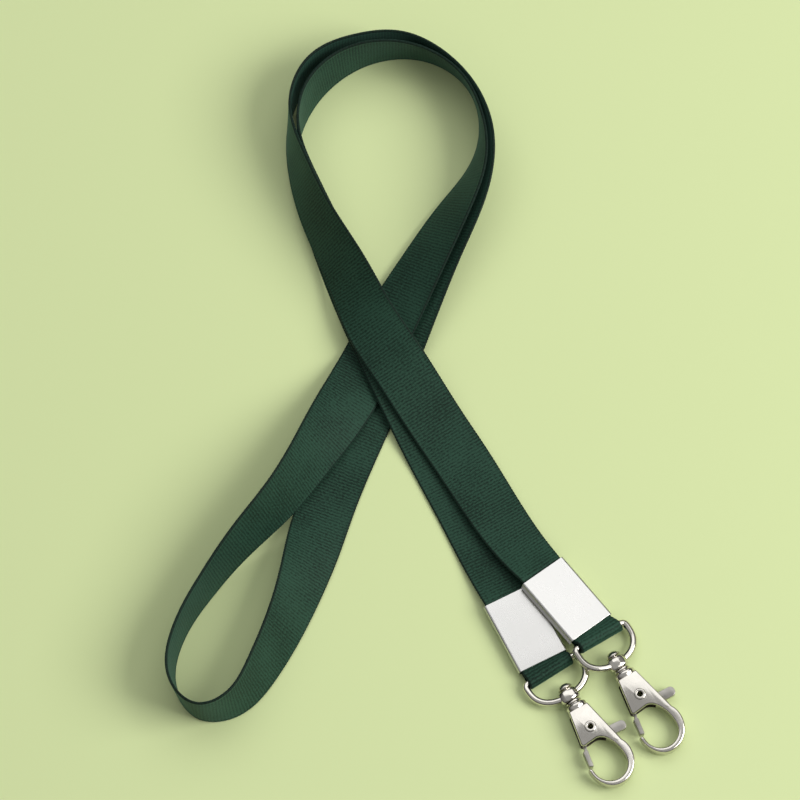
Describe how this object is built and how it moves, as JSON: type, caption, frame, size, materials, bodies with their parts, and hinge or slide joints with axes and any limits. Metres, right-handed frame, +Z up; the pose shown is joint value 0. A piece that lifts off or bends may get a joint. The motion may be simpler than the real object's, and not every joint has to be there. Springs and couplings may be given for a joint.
{
  "type": "neck lanyard with swivel snap hooks",
  "caption": "Flat woven neck lanyard laid in a crossed loop, each end clamped over a wire D-loop that carries a swivelling snap hook with a sprung gate.",
  "frame": {"origin": "centre of the underside of the bounding box of the lanyard as laid down", "axes": "+Y the long way of the laid lanyard, from the hooks towards the neck loop; +Z up, out of the surface it lies on"},
  "size_m": [0.1419, 0.2206, 0.0177],
  "materials": {
    "webbing": "ribbed weave",
    "clamp_metal": "satin",
    "wire_metal": "polished",
    "hook_metal": "polished",
    "rivet_metal": "satin",
    "lever_metal": "grained",
    "spring_metal": "drawn wire"
  },
  "bodies": {
    "strap_and_clamps": {"strap": "webbing", "left_clamp": "clamp_metal", "right_clamp": "clamp_metal"},
    "left_loop": {"left_d_loop": "wire_metal"},
    "left_hook": {"left_hook_body": "hook_metal", "left_swivel_rivet": "rivet_metal", "left_gate_rivet": "rivet_metal", "left_gate_spring": "spring_metal"},
    "left_gate": {"left_gate_lever": "lever_metal"},
    "right_loop": {"right_d_loop": "wire_metal"},
    "right_hook": {"right_hook_body": "hook_metal", "right_swivel_rivet": "rivet_metal", "right_gate_rivet": "rivet_metal", "right_gate_spring": "spring_metal"},
    "right_gate": {"right_gate_lever": "lever_metal"}
  },
  "joints": [
    {"name": "left_loop_swing", "type": "hinge", "parent": "strap_and_clamps", "child": "left_loop", "pos_m": [0.03438, -0.07683, 0.002], "axis": [0.8387, 0.5446, 0], "range_deg": [-6, 90]},
    {"name": "left_hook_swivel", "type": "hinge", "parent": "left_loop", "child": "left_hook", "pos_m": [0.0412, -0.0873, 0.0027], "axis": [0.5075, -0.8616, 0], "continuous": true},
    {"name": "left_gate_turn", "type": "hinge", "parent": "left_hook", "child": "left_gate", "pos_m": [0.04503, -0.09387, 0.0027], "axis": [0, 0, 1], "range_deg": [0, 22], "stiffness_Nm_per_rad": 0.002, "springref_deg": -11.46},
    {"name": "right_loop_swing", "type": "hinge", "parent": "strap_and_clamps", "child": "right_loop", "pos_m": [0.04782, -0.06771, 0.00407], "axis": [0.8121, 0.5455, -0.2071], "range_deg": [-90, 6]},
    {"name": "right_hook_swivel", "type": "hinge", "parent": "right_loop", "child": "right_hook", "pos_m": [0.0546, -0.0782, 0.0031], "axis": [0.5296, -0.8475, -0.0349], "range_deg": [-150, 150]},
    {"name": "right_gate_turn", "type": "hinge", "parent": "right_hook", "child": "right_gate", "pos_m": [0.05866, -0.08463, 0.00283], "axis": [0.0174, -0.0302, 0.9994], "range_deg": [0, 22], "stiffness_Nm_per_rad": 0.002, "springref_deg": -11.46}
  ]
}
